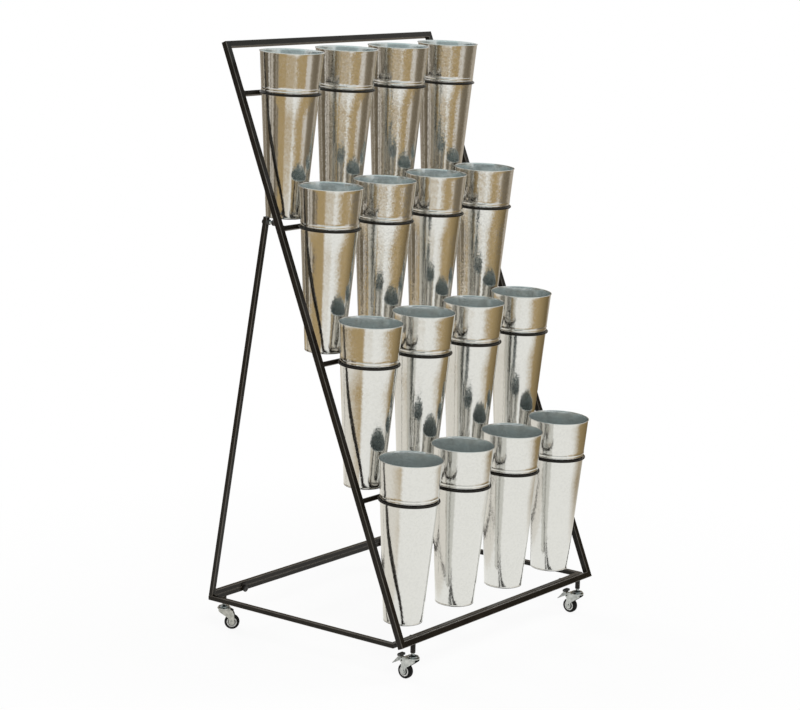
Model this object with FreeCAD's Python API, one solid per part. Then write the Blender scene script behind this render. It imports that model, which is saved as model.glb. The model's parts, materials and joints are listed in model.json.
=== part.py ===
import FreeCAD
import Part
import math
import os
from FreeCAD import Placement, Rotation, Vector

# Display frame: a flat rectangle of square tube, leaning back
post_spacing = 800.0
frame_lean_deg = 22.4
top_gap = 124.0
frame_tube = 15.0
frame_wall = 1.2
bottom_bar_height = 96.0

# Splice at mid height of each post
sleeve_length = 110.0
sleeve_wall = 1.2
sleeve_clearance = 0.05
splice_screw_drop = 30.0
screw_head_radius = 4.5
screw_head_height = 3.5

# Smaller square tube of the tier bars, the legs and the base
bar_tube = 12.0
bar_wall = 1.0

# Rounds are drawn with flats, except where a pin turns in a hole
round_sides = 18
wheel_sides = 28
fastener_sides = 12
hex_sides = 6
wire_sides = 6

# Tiers of buckets
tier_count = 4
bucket_count = 4
bucket_edge = 88.0
bucket_foot_gap = 25.5
lift_clearance = 1.1
bucket_lean_deg = 2.0

# Bucket: tapered sheet with a flared lip
bucket_height = 400.0
bucket_mouth_radius = 77.0
bucket_base_radius = 48.0
bucket_wall = 0.8
lip_overhang = 1.5
lip_height = 4.5
seat_depth = 100.0

# Ring of round wire that each bucket drops into
wire_diameter = 5.0
seat_clearance = 0.35
weld_sink = 0.6
ring_rise = 3.0

# Base rectangle behind the bottom bar
base_bar_height = 91.5
base_front_setback = 25.5
base_depth = 576.5

# Rear legs
leg_top_height = 1072.0
leg_gap = 32.7
leg_plug = 2.0

# Bolts through the leg tops
leg_bolt_drop = 12.0
leg_bolt_radius = 4.0
bolt_head_radius = 7.0
bolt_head_height = 5.0
leg_nut_length = 7.0
leg_bush_length = 9.0
leg_bush_radius = 7.5

# Bolts that hold the base to the bottom bar
front_bolt_inset = 80.0
front_head_radius = 5.5
front_head_height = 4.0
front_bush_radius = 6.0

# Clamps that hold the leg bar on the base
clamp_inset = 115.0
clamp_width = 17.0
clamp_thickness = 2.0
clamp_edge = 2.5
knob_radius = 8.5
knob_thickness = 6.0

# Caster sockets and stems
caster_inset = 46.0
socket_radius = 6.3
socket_bottom = 68.0
stem_radius = 4.0
race_radius = 14.5
race_top = 61.5
race_bottom = 57.0
kingpin_radius = 3.0
rivet_radius = 5.5
rivet_height = 1.8
swivel_clearance = 0.3
running_clearance = 0.05

# Caster forks
rear_heading_deg = 217.0
fork_race_radius = 17.0
fork_race_height = 4.2
fork_gap = 17.2
fork_plate = 1.8
fork_nose = 13.0
fork_tail = 31.0
fork_shoulder_drop = 5.0
fork_shoulder_run = 7.0
fork_skirt_drop = 13.0
fork_boss_radius = 7.5
boss_steps = 6
trail = 20.5
axle_radius = 3.0
axle_head_radius = 4.5
axle_head_height = 1.5

# Caster wheels
wheel_radius = 19.0
core_radius = 13.0
tread_width = 14.4

# Brake on the front casters
pivot_trail = 26.0
pivot_height = 46.0
pivot_radius = 2.0
barrel_radius = 4.0
lever_width = 12.0
lever_plate = 2.2
tail_reach = 33.0
tail_drop = 15.0
tail_tip_width = 7.0
lobe_length = 7.8
lobe_width = 3.5
brake_turn_deg = 18.0
pad_width = 19.0
pad_depth = 10.0
pad_thickness = 6.5
pad_setback = 8.5
pad_rise = 8.0

# Angles and directions worked out from the sizes above
x_axis = Vector(1, 0, 0)
y_axis = Vector(0, 1, 0)
z_axis = Vector(0, 0, 1)
frame_lean = math.radians(frame_lean_deg)
bucket_lean = math.radians(bucket_lean_deg)
slope_axis = Vector(0, math.sin(frame_lean), math.cos(frame_lean))
back_axis = Vector(0, math.cos(frame_lean), -math.sin(frame_lean))
post_x = post_spacing / 2
bar_half = bar_tube / 2
frame_half = frame_tube / 2

# Bucket radii that other pieces fit
taper = (bucket_mouth_radius - bucket_base_radius) / bucket_height
seat_radius = bucket_mouth_radius - taper * seat_depth
ring_radius = seat_radius + seat_clearance + wire_diameter / 2
lip_radius = bucket_mouth_radius + lip_overhang

# Rows step back far enough for a rim to pass the ring of the row above as its bucket is lifted
row_lean = frame_lean + bucket_lean
ring_outer_radius = ring_radius + wire_diameter / 2
row_reach = lip_radius + ring_outer_radius + lift_clearance + taper * seat_depth
tier_pitch = row_reach / (math.sin(row_lean) + taper * math.cos(row_lean))
first_tier_slope = (bucket_height - seat_depth + bucket_foot_gap) / math.cos(frame_lean)
slope_height = first_tier_slope + (tier_count - 1) * tier_pitch + top_gap
bucket_pitch = (post_spacing - 2 * bucket_edge) / (bucket_count - 1)
front_bolt_x = post_x - front_bolt_inset
clamp_x = post_x - clamp_inset
caster_x = post_x - caster_inset

# The base and the legs stand behind the bottom bar
base_front_y = base_front_setback
base_rear_y = base_front_setback + base_depth
base_top = base_bar_height + bar_half
base_bottom = base_bar_height - bar_half
leg_top_setback = (leg_top_height - bottom_bar_height) * math.tan(frame_lean) + leg_gap
leg_lean = math.atan2(base_rear_y - leg_top_setback, leg_top_height - base_top)


def frame_point(x, slope, back):
    point = Vector(x, 0, bottom_bar_height)
    return point + slope_axis * slope + back_axis * back


def tier_slope(tier):
    return first_tier_slope + tier_pitch * (tier_count - tier)


def ring_centre(tier, place):
    x = (place - (bucket_count + 1) / 2) * bucket_pitch
    bar_front = frame_half
    rear_wire = frame_point(x, tier_slope(tier) + ring_rise, -(bar_front + wire_diameter / 2 - weld_sink))
    forward = Vector(0, -math.cos(bucket_lean), -math.sin(bucket_lean))
    return rear_wire + forward * ring_radius


def bucket_axis():
    return Vector(0, -math.sin(bucket_lean), math.cos(bucket_lean))


def lift_axis():
    angle = bucket_lean + math.atan(taper)
    return Vector(0, -math.sin(angle), math.cos(angle))


# The origin lies under the middle of the stand's depth, on the floor
lowest_ring = ring_centre(tier_count, 1)
front_edge = (lowest_ring + bucket_axis() * seat_depth).y - lip_radius * math.cos(bucket_lean)
rear_edge = base_rear_y + fork_race_radius
depth_shift = -(front_edge + rear_edge) / 2


def stacked(sections, loop=False):
    # Closed body of flat faces through sections that have the same number of corners
    faces = []
    pairs = list(zip(sections, sections[1:] + sections[:1])) if loop else list(zip(sections, sections[1:]))
    for low, high in pairs:
        for step in range(len(low)):
            after = (step + 1) % len(low)
            corners = [low[step], low[after], high[after], high[step], low[step]]
            faces.append(Part.Face(Part.makePolygon(corners)))
    if not loop:
        for end in (sections[0], sections[-1]):
            faces.append(Part.Face(Part.makePolygon(end + end[:1])))
    body = Part.makeSolid(Part.makeShell(faces))
    if body.Volume < 0:
        body.reverse()
    return body


def round_section(radius, height):
    corners = []
    for step in range(round_sides):
        angle = 2 * math.pi * step / round_sides
        corners.append(Vector(radius * math.sin(angle), -radius * math.cos(angle), height))
    return corners


def solid_bar(start, end, side, rise, size, start_cut=None, end_cut=None):
    # Square bar between two axis points; each end is cut by a plane with the given normal
    along = (end - start).normalize()
    half = size / 2
    sections = []
    for point, normal in ((start, start_cut or along), (end, end_cut or along)):
        corners = []
        for a, b in ((-half, -half), (half, -half), (half, half), (-half, half)):
            offset = side * a + rise * b
            slide = -offset.dot(normal) / along.dot(normal)
            corners.append(point + offset + along * slide)
        sections.append(corners)
    return stacked(sections)


def tube(start, end, side, rise, size, wall, start_cut=None, end_cut=None, plug=0):
    inner_end = end - (end - start).normalize() * plug
    outside = solid_bar(start, end, side, rise, size, start_cut, end_cut)
    return outside.cut(solid_bar(start, inner_end, side, rise, size - 2 * wall, start_cut, end_cut))


def rod(start, end, radius):
    direction = end - start
    return Part.makeCylinder(radius, direction.Length, start, direction)


def flat_rod(start, end, radius, sides):
    direction = end - start
    turn = Rotation(z_axis, direction)
    sections = []
    for point in (start, end):
        corners = []
        for step in range(sides):
            angle = 2 * math.pi * step / sides
            offset = Vector(radius * math.sin(angle), -radius * math.cos(angle), 0)
            corners.append(point + turn.multVec(offset))
        sections.append(corners)
    return stacked(sections)


def side_plate(points, x_low, x_high):
    # Outline in the caster's side view, given as trail and height, extruded along the axle
    corners = [Vector(x_low, along, height) for along, height in points]
    face = Part.Face(Part.makePolygon(corners + corners[:1]))
    return face.extrude(Vector(x_high - x_low, 0, 0))


def across(along, height, radius, half_width):
    return rod(Vector(-half_width, along, height), Vector(half_width, along, height), radius)


def both_sides(make):
    return Part.makeCompound([make(-1), make(1)])


parts = {}


def add_posts():
    joint = slope_height / 2
    for name, sign in (("left", -1), ("right", 1)):
        foot = frame_point(sign * post_x, 0, 0)
        middle = frame_point(sign * post_x, joint, 0)
        head = frame_point(sign * post_x, slope_height, 0)
        foot_cut = slope_axis + x_axis * sign
        head_cut = slope_axis - x_axis * sign
        lower = tube(foot, middle, x_axis, back_axis, frame_tube, frame_wall, start_cut=foot_cut)
        upper = tube(middle, head, x_axis, back_axis, frame_tube, frame_wall, end_cut=head_cut)
        parts[f"post_lower_{name}"] = lower
        parts[f"post_upper_{name}"] = upper


def add_splices():
    size = frame_tube - 2 * (frame_wall + sleeve_clearance)
    low = (slope_height - sleeve_length) / 2
    high = (slope_height + sleeve_length) / 2

    def sleeve(sign):
        start = frame_point(sign * post_x, low, 0)
        end = frame_point(sign * post_x, high, 0)
        return tube(start, end, x_axis, back_axis, size, sleeve_wall)

    parts["splice_sleeves"] = both_sides(sleeve)


def splice_head(sign):
    slope = slope_height / 2 - splice_screw_drop
    face = frame_point(sign * post_x, slope, frame_half)
    return flat_rod(face, face + back_axis * screw_head_height, screw_head_radius, fastener_sides)


def add_frame_bars():
    for name, slope, turn in (("top_bar", slope_height, 1), ("bottom_bar", 0, -1)):
        left = frame_point(-post_x, slope, 0)
        right = frame_point(post_x, slope, 0)
        left_cut = x_axis + slope_axis * turn
        right_cut = x_axis - slope_axis * turn
        parts[name] = tube(left, right, slope_axis, back_axis, frame_tube, frame_wall, left_cut, right_cut)


def tier_bar_ends(tier):
    reach = post_x - frame_half
    back = -(frame_half - bar_half)
    slope = tier_slope(tier)
    return frame_point(-reach, slope, back), frame_point(reach, slope, back)


def add_tiers():
    for tier in range(1, tier_count + 1):
        left, right = tier_bar_ends(tier)
        parts[f"tier_bar_{tier}"] = tube(left, right, slope_axis, back_axis, bar_tube, bar_wall)
        block = solid_bar(left, right, slope_axis, back_axis, bar_tube)
        rings = []
        for place in range(1, bucket_count + 1):
            rings.append(wire_ring(tier, place).cut(block))
        parts[f"ring_row_{tier}"] = Part.makeCompound(rings)


def wire_ring(tier, place):
    sections = []
    for step in range(wire_sides):
        angle = 2 * math.pi * step / wire_sides
        radius = ring_radius + wire_diameter / 2 * math.cos(angle)
        sections.append(round_section(radius, wire_diameter / 2 * math.sin(angle)))
    ring = stacked(sections, loop=True)
    ring.Placement = Placement(ring_centre(tier, place), Rotation(x_axis, bucket_lean_deg))
    return ring


def add_buckets():
    top = seat_depth
    bottom = seat_depth - bucket_height
    floor = bottom + bucket_wall
    bucket = stacked(
        [
            round_section(bucket_base_radius, bottom),
            round_section(bucket_mouth_radius - taper * lip_height, top - lip_height),
            round_section(lip_radius, top),
            round_section(bucket_mouth_radius - bucket_wall, top),
            round_section(bucket_base_radius - bucket_wall + taper * bucket_wall, floor),
        ]
    )
    for tier in range(1, tier_count + 1):
        for place in range(1, bucket_count + 1):
            shape = bucket.copy()
            shape.Placement = Placement(ring_centre(tier, place), Rotation(x_axis, bucket_lean_deg))
            parts[f"bucket_{tier}_{place}"] = shape


def add_base():
    corners = {
        "front_left": Vector(-post_x, base_front_y, base_bar_height),
        "front_right": Vector(post_x, base_front_y, base_bar_height),
        "rear_left": Vector(-post_x, base_rear_y, base_bar_height),
        "rear_right": Vector(post_x, base_rear_y, base_bar_height),
    }
    for name, sign in (("left", -1), ("right", 1)):
        front = corners[f"front_{name}"]
        rear = corners[f"rear_{name}"]
        front_cut = y_axis + x_axis * sign
        rear_cut = y_axis - x_axis * sign
        rail = tube(front, rear, x_axis, z_axis, bar_tube, bar_wall, front_cut, rear_cut)
        parts[f"base_rail_{name}"] = rail
    for name, turn in (("front", -1), ("rear", 1)):
        left = corners[f"{name}_left"]
        right = corners[f"{name}_right"]
        left_cut = x_axis + y_axis * turn
        right_cut = x_axis - y_axis * turn
        bar = tube(left, right, y_axis, z_axis, bar_tube, bar_wall, left_cut, right_cut)
        parts[f"base_{name}_bar"] = bar


def leg_ends(sign):
    foot = Vector(sign * post_x, base_rear_y, base_top)
    head = Vector(sign * post_x, leg_top_setback, leg_top_height)
    return foot, head


def leg_side_axes():
    along = Vector(0, -math.sin(leg_lean), math.cos(leg_lean))
    return along, Vector(0, math.cos(leg_lean), math.sin(leg_lean))


def add_legs():
    along, across_leg = leg_side_axes()
    for name, sign in (("left", -1), ("right", 1)):
        foot, head = leg_ends(sign)
        leg = tube(foot, head, x_axis, across_leg, bar_tube, bar_wall, z_axis, along, leg_plug)
        parts[f"leg_{name}"] = leg
    reach = post_x - bar_half
    height = base_top + bar_half
    left = Vector(-reach, base_rear_y, height)
    right = Vector(reach, base_rear_y, height)
    parts["leg_bar"] = tube(left, right, y_axis, z_axis, bar_tube, bar_wall)


def leg_bolt_line(sign):
    # Axis of the bolt at a leg's top: height, the leg's rear and front faces, the post's rear face
    height = leg_top_height - leg_bolt_drop
    leg_y = leg_top_setback + leg_bolt_drop * math.tan(leg_lean)
    half_leg = bar_half / math.cos(leg_lean)
    post_y = (height - bottom_bar_height) * math.tan(frame_lean) + frame_half / math.cos(frame_lean)
    return sign * post_x, height, leg_y + half_leg, leg_y - half_leg, post_y


def leg_head(sign):
    x, height, leg_rear, leg_front, post_rear = leg_bolt_line(sign)
    sway = bolt_head_radius * math.tan(leg_lean)
    outer = Vector(x, leg_rear + sway + bolt_head_height, height)
    inner = Vector(x, leg_rear - sway, height)
    return flat_rod(outer, inner, bolt_head_radius, hex_sides).cut(leg_block(sign))


def leg_spacer(sign):
    # Nut against the leg, bare thread, round bush against the post
    x, height, leg_rear, leg_front, post_rear = leg_bolt_line(sign)
    nut_start = Vector(x, leg_front + bar_half, height)
    nut_end = Vector(x, leg_front - leg_nut_length, height)
    bush_start = Vector(x, post_rear - frame_half, height)
    bush_end = Vector(x, post_rear + leg_bush_length, height)
    nut = flat_rod(nut_start, nut_end, bolt_head_radius, hex_sides)
    bush = flat_rod(bush_start, bush_end, leg_bush_radius, fastener_sides)
    thread = flat_rod(nut_end, bush_end, leg_bolt_radius, fastener_sides)
    spacer = nut.fuse(thread).fuse(bush).removeSplitter()
    return spacer.cut(leg_block(sign)).cut(post_block(sign))


def leg_block(sign):
    along, across_leg = leg_side_axes()
    foot, head = leg_ends(sign)
    return solid_bar(foot, head, x_axis, across_leg, bar_tube)


def post_block(sign):
    foot = frame_point(sign * post_x, 0, 0)
    head = frame_point(sign * post_x, slope_height, 0)
    return solid_bar(foot, head, x_axis, back_axis, frame_tube)


def bottom_bar_block():
    left = frame_point(-post_x, 0, 0)
    right = frame_point(post_x, 0, 0)
    return solid_bar(left, right, slope_axis, back_axis, frame_tube)


def front_head(sign):
    rear = Vector(sign * front_bolt_x, base_front_y + bar_half, base_bar_height)
    return flat_rod(rear, rear + y_axis * front_head_height, front_head_radius, hex_sides)


def front_spacer(sign):
    x = sign * front_bolt_x
    rear = Vector(x, base_front_y - bar_half, base_bar_height)
    bush = flat_rod(rear, Vector(x, 0, base_bar_height), front_bush_radius, fastener_sides)
    return bush.cut(bottom_bar_block())


def add_fasteners():
    heads = []
    spacers = []
    for sign in (-1, 1):
        heads += [splice_head(sign), leg_head(sign), front_head(sign)]
        spacers += [leg_spacer(sign), front_spacer(sign)]
    parts["bolt_heads"] = Part.makeCompound(heads)
    parts["bolt_spacers"] = Part.makeCompound(spacers)


def add_clamps():
    face_y = base_rear_y - bar_half

    def plate(sign):
        x = sign * clamp_x
        low = base_bottom + clamp_edge
        high = base_top + bar_tube - clamp_edge
        corner = Vector(x - clamp_width / 2, face_y - clamp_thickness, low)
        return Part.makeBox(clamp_width, clamp_thickness, high - low, corner)

    def knob(sign):
        back = Vector(sign * clamp_x, face_y - clamp_thickness, base_bar_height)
        return flat_rod(back - y_axis * knob_thickness, back, knob_radius, round_sides)

    parts["clamp_plates"] = both_sides(plate)
    parts["clamp_knobs"] = both_sides(knob)


casters = (
    ("front_left", -1, 0, 0),
    ("front_right", 1, 0, 0),
    ("rear_left", -1, base_rear_y, rear_heading_deg),
    ("rear_right", 1, base_rear_y, -rear_heading_deg),
)


def caster_foot(sign, setback):
    return Vector(sign * caster_x, setback, 0)


def add_sockets():
    sockets = []
    stems = []
    rivet_end = Vector(0, 0, rivet_top - rivet_height)
    pin_end = Vector(0, 0, rivet_top)
    race_end = Vector(0, 0, race_bottom)
    neck_end = Vector(0, 0, race_top)
    stem = flat_rod(neck_end, Vector(0, 0, socket_bottom), stem_radius, fastener_sides)
    stem = stem.fuse(flat_rod(race_end, neck_end, race_radius, round_sides))
    stem = stem.fuse(rod(pin_end, race_end, kingpin_radius))
    stem = stem.fuse(flat_rod(rivet_end, pin_end, rivet_radius, fastener_sides))
    for name, sign, setback, heading in casters:
        top = base_bottom if setback else bottom_bar_height
        socket = flat_rod(Vector(0, 0, socket_bottom), Vector(0, 0, top), socket_radius, fastener_sides)
        socket.translate(caster_foot(sign, setback))
        if not setback:
            socket = socket.cut(bottom_bar_block())
        sockets.append(socket)
        placed = stem.copy()
        placed.translate(caster_foot(sign, setback))
        stems.append(placed)
    parts["stem_sockets"] = Part.makeCompound(sockets)
    parts["caster_stems"] = Part.makeCompound(stems)


fork_top = race_bottom - swivel_clearance
fork_under = fork_top - fork_race_height
rivet_top = fork_under - swivel_clearance


def place_caster(shape, sign, setback, heading):
    seat = Placement(caster_foot(sign, setback), Rotation(z_axis, heading))
    shape.Placement = seat.multiply(shape.Placement)
    return shape


def boss_arc():
    # Round lower end of a fork plate, from its rear edge under the axle to its front edge
    points = []
    for step in range(boss_steps + 1):
        angle = math.pi * step / boss_steps
        along = trail + fork_boss_radius * math.cos(angle)
        points.append((along, wheel_radius - fork_boss_radius * math.sin(angle)))
    return tuple(points)


def fork_shape(brake):
    inner = fork_gap / 2
    outer = inner + fork_plate
    crown = fork_under + fork_plate
    tail = fork_tail if brake else fork_tail - fork_shoulder_run
    outline = (
        (-fork_nose, crown),
        (tail - fork_shoulder_run, crown),
        (tail, crown - fork_shoulder_drop),
        (tail, crown - fork_skirt_drop),
    )
    web = (
        (-fork_nose, fork_under),
        (tail - fork_shoulder_run, fork_under),
        (tail - fork_shoulder_run, crown),
        (-fork_nose, crown),
    )
    fork = flat_rod(Vector(0, 0, fork_under), Vector(0, 0, fork_top), fork_race_radius, round_sides)
    fork = fork.fuse(side_plate(web, -outer, outer))
    for low, high in ((-outer, -inner), (inner, outer)):
        fork = fork.fuse(side_plate(outline + boss_arc(), low, high))
    fork = fork.fuse(across(trail, wheel_radius, axle_radius, inner))
    for low, high in ((-outer - axle_head_height, -outer), (outer + axle_head_height, outer)):
        start = Vector(low, trail, wheel_radius)
        end = Vector(high, trail, wheel_radius)
        fork = fork.fuse(flat_rod(start, end, axle_head_radius, fastener_sides))
    if brake:
        fork = fork.fuse(across(pivot_trail, pivot_height, pivot_radius, inner))
    hole_radius = kingpin_radius + running_clearance
    hole = rod(Vector(0, 0, fork_under), Vector(0, 0, fork_top), hole_radius)
    return fork.cut(hole).removeSplitter()


def wheel_shapes():
    half = tread_width / 2
    start = Vector(-half, trail, wheel_radius)
    end = Vector(half, trail, wheel_radius)
    core = flat_rod(start, end, core_radius, wheel_sides)
    tyre = flat_rod(start, end, wheel_radius, wheel_sides).cut(core)
    return core.cut(rod(start, end, axle_radius + running_clearance)), tyre


def lever_shape():
    half = lever_width / 2
    start = Vector(-half, pivot_trail, pivot_height)
    end = Vector(half, pivot_trail, pivot_height)
    barrel = flat_rod(start, end, barrel_radius, fastener_sides)
    tip_y = pivot_trail + tail_reach
    tip_z = pivot_height - tail_drop
    tail = side_plate(
        (
            (pivot_trail, pivot_height + lever_plate),
            (pivot_trail + pad_setback, pivot_height + lever_plate),
            (tip_y, tip_z + lever_plate / 2),
            (tip_y, tip_z - lever_plate / 2),
            (pivot_trail + pad_setback - lever_plate, pivot_height - lever_plate),
            (pivot_trail, pivot_height - lever_plate),
        ),
        -half,
        half,
    )
    side = (lever_width - tail_tip_width) / 2
    for sign in (-1, 1):
        corners = (
            Vector(sign * half, pivot_trail + pad_setback, 0),
            Vector(sign * (half - side), tip_y, 0),
            Vector(sign * half, tip_y, 0),
        )
        corner = Part.Face(Part.makePolygon(list(corners) + [corners[0]]))
        tail = tail.cut(corner.extrude(Vector(0, 0, pivot_height + pad_rise)))
    neck = side_plate(
        (
            (pivot_trail + barrel_radius - lever_plate, pivot_height),
            (pivot_trail + pad_setback + lever_plate, pivot_height),
            (pivot_trail + pad_setback + lever_plate, pivot_height + pad_rise),
            (pivot_trail + pad_setback - lever_plate, pivot_height + pad_rise),
        ),
        -half,
        half,
    )
    toward_tyre = math.atan2(trail - pivot_trail, pivot_height - wheel_radius)
    lobe_deg = math.degrees(toward_tyre) + brake_turn_deg
    lobe = Part.makeBox(lever_width, lobe_width, lobe_length, Vector(-half, -lobe_width / 2, -lobe_length))
    lobe.Placement = Placement(Vector(0, pivot_trail, pivot_height), Rotation(x_axis, lobe_deg))
    hole = across(pivot_trail, pivot_height, pivot_radius + running_clearance, half)
    return barrel.fuse(tail).fuse(neck).fuse(lobe).cut(hole).removeSplitter()


def pad_shape():
    low = Vector(-pad_width / 2, pivot_trail + pad_setback - pad_depth / 2, pivot_height + pad_rise)
    return Part.makeBox(pad_width, pad_depth, pad_thickness, low)


def add_casters():
    core, tyre = wheel_shapes()
    for name, sign, setback, heading in casters:
        brake = setback == 0
        pieces = {"fork": fork_shape(brake), "wheel": core.copy(), "tyre": tyre.copy()}
        if brake:
            pieces["brake_lever"] = lever_shape()
            pieces["brake_pad"] = pad_shape()
        for piece, shape in pieces.items():
            parts[f"{piece}_{name}"] = place_caster(shape, sign, setback, heading)


def build():
    add_posts()
    add_splices()
    add_frame_bars()
    add_tiers()
    add_base()
    add_legs()
    add_fasteners()
    add_clamps()
    add_sockets()
    add_casters()
    add_buckets()
    os.makedirs("parts", exist_ok=True)
    for name, shape in parts.items():
        shape.translate(Vector(0, depth_shift, 0))
        shape.exportStep(f"parts/{name}.step")
    print(len(parts), "nodes")


build()
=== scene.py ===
import bpy
import bmesh
import json
import math
from mathutils import Matrix, Vector


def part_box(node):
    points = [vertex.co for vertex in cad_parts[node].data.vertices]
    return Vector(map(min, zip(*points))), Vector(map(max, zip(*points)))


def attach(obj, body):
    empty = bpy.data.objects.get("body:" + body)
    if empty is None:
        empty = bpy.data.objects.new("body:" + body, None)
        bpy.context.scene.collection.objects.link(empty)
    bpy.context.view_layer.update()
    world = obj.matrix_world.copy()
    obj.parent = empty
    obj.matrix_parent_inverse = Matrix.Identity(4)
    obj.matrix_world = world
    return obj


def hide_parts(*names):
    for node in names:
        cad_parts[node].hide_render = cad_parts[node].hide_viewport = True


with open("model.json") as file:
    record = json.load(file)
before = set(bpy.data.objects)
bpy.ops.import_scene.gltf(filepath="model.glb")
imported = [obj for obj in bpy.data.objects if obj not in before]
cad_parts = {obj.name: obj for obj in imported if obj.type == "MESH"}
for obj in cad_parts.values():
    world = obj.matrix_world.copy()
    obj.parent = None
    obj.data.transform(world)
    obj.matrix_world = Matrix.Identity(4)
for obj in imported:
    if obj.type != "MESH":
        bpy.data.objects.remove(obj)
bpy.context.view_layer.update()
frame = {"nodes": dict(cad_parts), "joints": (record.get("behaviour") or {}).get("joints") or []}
mm = 0.001  # dictionaries hold millimetres, meshes hold metres
xAxis, yAxis, zAxis = Vector((1, 0, 0)), Vector((0, 1, 0)), Vector((0, 0, 1))
joints = {joint["name"]: joint for joint in frame["joints"]}
handed = (("left", -1), ("right", 1))
print("frame loaded,", len(frame["nodes"]), "nodes")


def boxCentre(node):
    low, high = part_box(node)
    return (low + high) / 2


def startMaterial(name):
    material = bpy.data.materials.new(name)
    material.use_nodes = True
    tree = material.node_tree
    coords = tree.nodes.new("ShaderNodeTexCoord").outputs["Object"]
    return material, tree, tree.nodes["Principled BSDF"], coords


def startBare(name):
    # Without a surface yet
    material, tree, shader, coords = startMaterial(name)
    tree.nodes.remove(shader)
    return material, tree, coords


def addNode(tree, kind, values, **settings):
    node = tree.nodes.new(kind)
    for key, value in settings.items():
        setattr(node, key, value)
    for key, value in values.items():
        if isinstance(value, bpy.types.NodeSocket):
            tree.links.new(value, node.inputs[key])
        else:
            node.inputs[key].default_value = value
    return node


def combine(tree, first, second, operation):
    return addNode(tree, "ShaderNodeMath", {0: first, 1: second}, operation=operation).outputs[0]


def vectorMath(tree, operation, values):
    node = addNode(tree, "ShaderNodeVectorMath", values, operation=operation)
    return node.outputs["Value" if operation in ("LENGTH", "DOT_PRODUCT") else "Vector"]


def noiseValue(tree, coords, scale, detail=3.0):
    return addNode(tree, "ShaderNodeTexNoise", {"Vector": coords, "Scale": scale, "Detail": detail}).outputs["Fac"]


def spread(tree, value, low, high, start=0.3, end=0.7):
    values = {"Value": value, "From Min": start, "From Max": end, "To Min": low, "To Max": high}
    return addNode(tree, "ShaderNodeMapRange", values).outputs["Result"]


def blendColour(tree, value, first, second):
    ramp = tree.nodes.new("ShaderNodeValToRGB")
    ramp.color_ramp.elements[0].color = (*first, 1)
    ramp.color_ramp.elements[1].color = (*second, 1)
    ramp.color_ramp.elements[0].position = 0.3
    ramp.color_ramp.elements[1].position = 0.7
    tree.links.new(value, ramp.inputs["Fac"])
    return ramp.outputs["Color"]


def addBump(tree, height, strength, depth, normal=None):
    values = {"Height": height, "Strength": strength, "Distance": depth}
    if normal:
        values["Normal"] = normal
    return addNode(tree, "ShaderNodeBump", values).outputs["Normal"]


def makePlainFinish(look):
    # Coated, moulded and plated surfaces: mottled colour, uneven gloss, fine grain
    material, tree, shader, coords = startMaterial(look["name"])
    mottle = noiseValue(tree, coords, look["mottle"])
    grain = noiseValue(tree, coords, look["grain"], 2.0)
    tree.links.new(blendColour(tree, mottle, look["dark"], look["light"]), shader.inputs["Base Color"])
    tree.links.new(spread(tree, grain, *look["gloss"]), shader.inputs["Roughness"])
    tree.links.new(addBump(tree, grain, look["bump"], 0.0003), shader.inputs["Normal"])
    shader.inputs["Metallic"].default_value = look["metal"]
    shader.inputs["Specular IOR Level"].default_value = look["shine"]
    return material


frameCoatLook = {"name": "satinCoat", "dark": (0.0064, 0.0049, 0.0032), "light": (0.0130, 0.0102, 0.0070),
                 "mottle": 22.0, "grain": 1400.0, "gloss": (0.18, 0.30), "bump": 0.08, "metal": 0.0, "shine": 0.18}
# Paler coat for the tubes' rounded corners: a painted highlight, in place of the glint of light along the edges
edgeLook = {"name": "rubbedEdge", "dark": (0.040, 0.035, 0.028), "light": (0.090, 0.079, 0.066),
            "mottle": 35.0, "grain": 1400.0, "gloss": (0.16, 0.28), "bump": 0.08, "metal": 0.0, "shine": 0.5}
fastenerLook = {"name": "blackenedSteel", "dark": (0.008, 0.007, 0.006), "light": (0.020, 0.018, 0.016),
                "mottle": 90.0, "grain": 2200.0, "gloss": (0.30, 0.46), "bump": 0.12, "metal": 0.0, "shine": 0.45}
zincLook = {"name": "brightZinc", "dark": (0.33, 0.345, 0.33), "light": (0.56, 0.57, 0.55),
            "mottle": 120.0, "grain": 1800.0, "gloss": (0.14, 0.26), "bump": 0.10, "metal": 1.0, "shine": 0.5}
darkZincLook = {**zincLook, "name": "darkZinc", "dark": (0.17, 0.18, 0.175), "light": (0.42, 0.43, 0.42)}
coreLook = {"name": "paleWheelCore", "dark": (0.48, 0.48, 0.46), "light": (0.60, 0.60, 0.575),
            "mottle": 160.0, "grain": 2500.0, "gloss": (0.38, 0.55), "bump": 0.10, "metal": 0.0, "shine": 0.5}
tyreLook = {"name": "tyreRubber", "dark": (0.004, 0.004, 0.0038), "light": (0.011, 0.0105, 0.010),
            "mottle": 140.0, "grain": 2600.0, "gloss": (0.48, 0.70), "bump": 0.20, "metal": 0.0, "shine": 0.08}
padLook = {"name": "pedalPlastic", "dark": (0.026, 0.028, 0.026), "light": (0.075, 0.078, 0.072),
           "mottle": 260.0, "grain": 2400.0, "gloss": (0.30, 0.50), "bump": 0.18, "metal": 0.0, "shine": 0.35}

frameCoat = makePlainFinish(frameCoatLook)
rubbedEdge = makePlainFinish(edgeLook)
blackenedSteel = makePlainFinish(fastenerLook)
brightZinc = makePlainFinish(zincLook)
darkZinc = makePlainFinish(darkZincLook)
wheelCore = makePlainFinish(coreLook)
tyreRubber = makePlainFinish(tyreLook)
pedalPlastic = makePlainFinish(padLook)

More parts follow.
